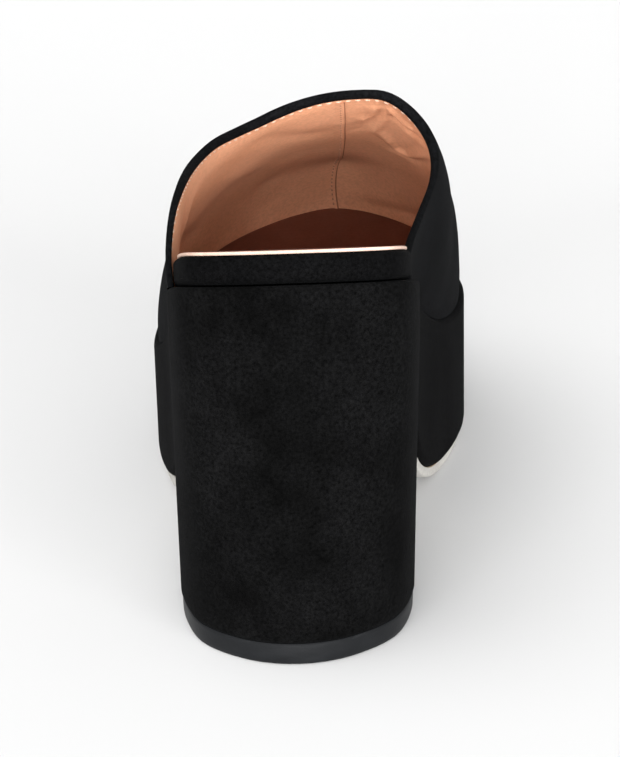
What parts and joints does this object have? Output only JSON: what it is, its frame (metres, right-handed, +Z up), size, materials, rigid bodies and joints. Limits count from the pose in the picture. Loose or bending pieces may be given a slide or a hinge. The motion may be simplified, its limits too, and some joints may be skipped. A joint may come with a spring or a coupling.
{
  "type": "mule shoe",
  "caption": "Left platform mule with a closed toe, open back and tall block heel: suede upper over a wrapped footbed and platform, leather lined.",
  "frame": {"origin": "middle of the shoe's box at the floor", "axes": "+Z up, +Y from the heel to the toe, +X to the medial (big toe) side"},
  "size_m": [0.103, 0.238, 0.1326],
  "materials": {
    "suede": "brushed nap, matte",
    "lining_leather": "smooth, soft sheen",
    "sole_leather": "smooth",
    "lift_rubber": "satin"
  },
  "bodies": {
    "root": {"upper": "suede", "footbed": "suede", "insole_sock": "lining_leather", "platform": "suede", "outsole": "sole_leather", "heel_block": "suede", "top_lift": "lift_rubber"}
  },
  "joints": []
}
